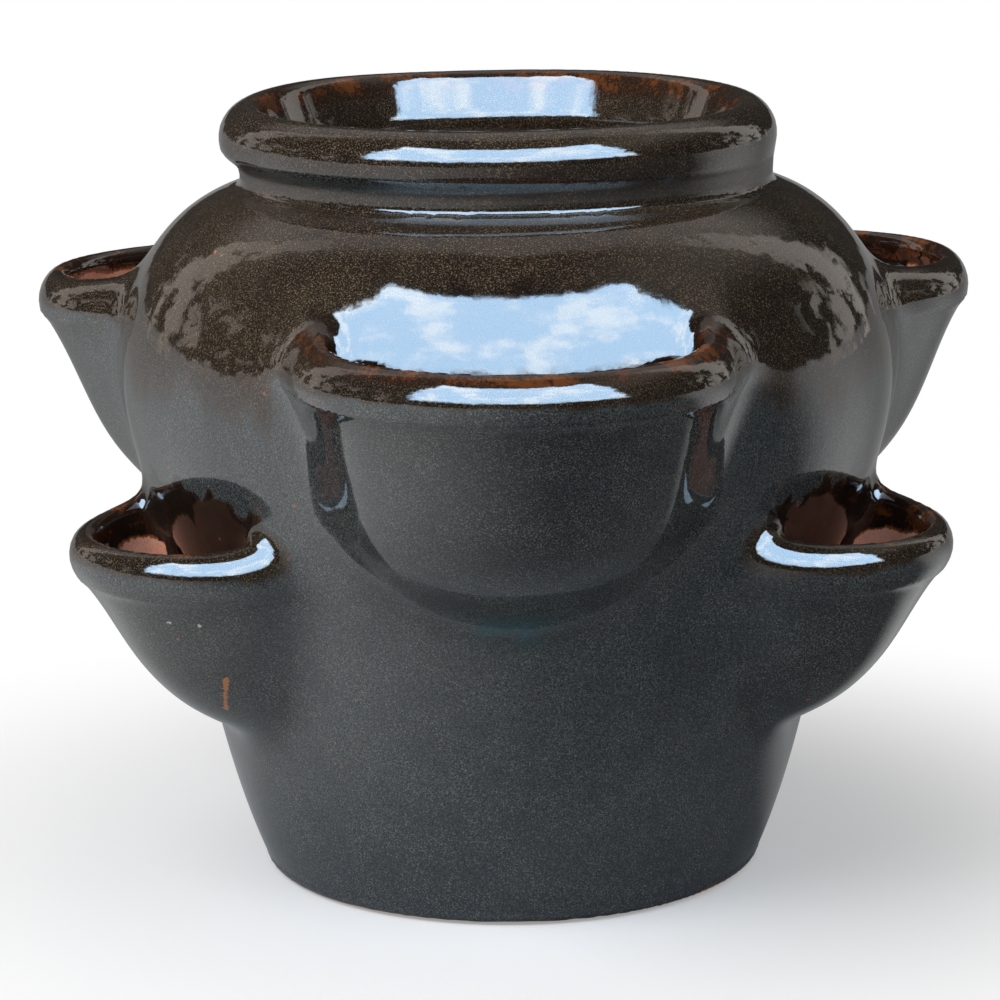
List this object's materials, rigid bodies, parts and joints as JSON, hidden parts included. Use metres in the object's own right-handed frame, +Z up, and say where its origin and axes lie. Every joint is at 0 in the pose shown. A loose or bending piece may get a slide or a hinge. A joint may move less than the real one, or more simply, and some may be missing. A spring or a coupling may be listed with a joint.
{
  "type": "strawberry jar planter",
  "caption": "Wide-bellied glazed ceramic strawberry jar with a rolled rim, planting cups in two staggered tiers on its wall and a drain hole.",
  "frame": {"origin": "centre of the foot's underside, on the jar's axis, where the drain hole opens", "axes": "+Z up along the jar's axis; the front cup of the upper tier faces -Y; +X to the right seen from the front"},
  "size_m": [0.4194, 0.4316, 0.3348],
  "materials": {
    "glaze": "very glossy dark brown-black glaze with fine golden speckle, breaking to amber on edges",
    "bare_clay": "matt unglazed reddish terracotta"
  },
  "bodies": {
    "root": {"jar_wall": "glaze", "floor_slab": "bare_clay", "neck_rim": "glaze", "upper_pocket_front": "glaze", "upper_pocket_left": "glaze", "upper_pocket_right": "glaze", "lower_pocket_left": "glaze", "lower_pocket_right": "glaze", "lower_pocket_back": "glaze"}
  },
  "joints": []
}
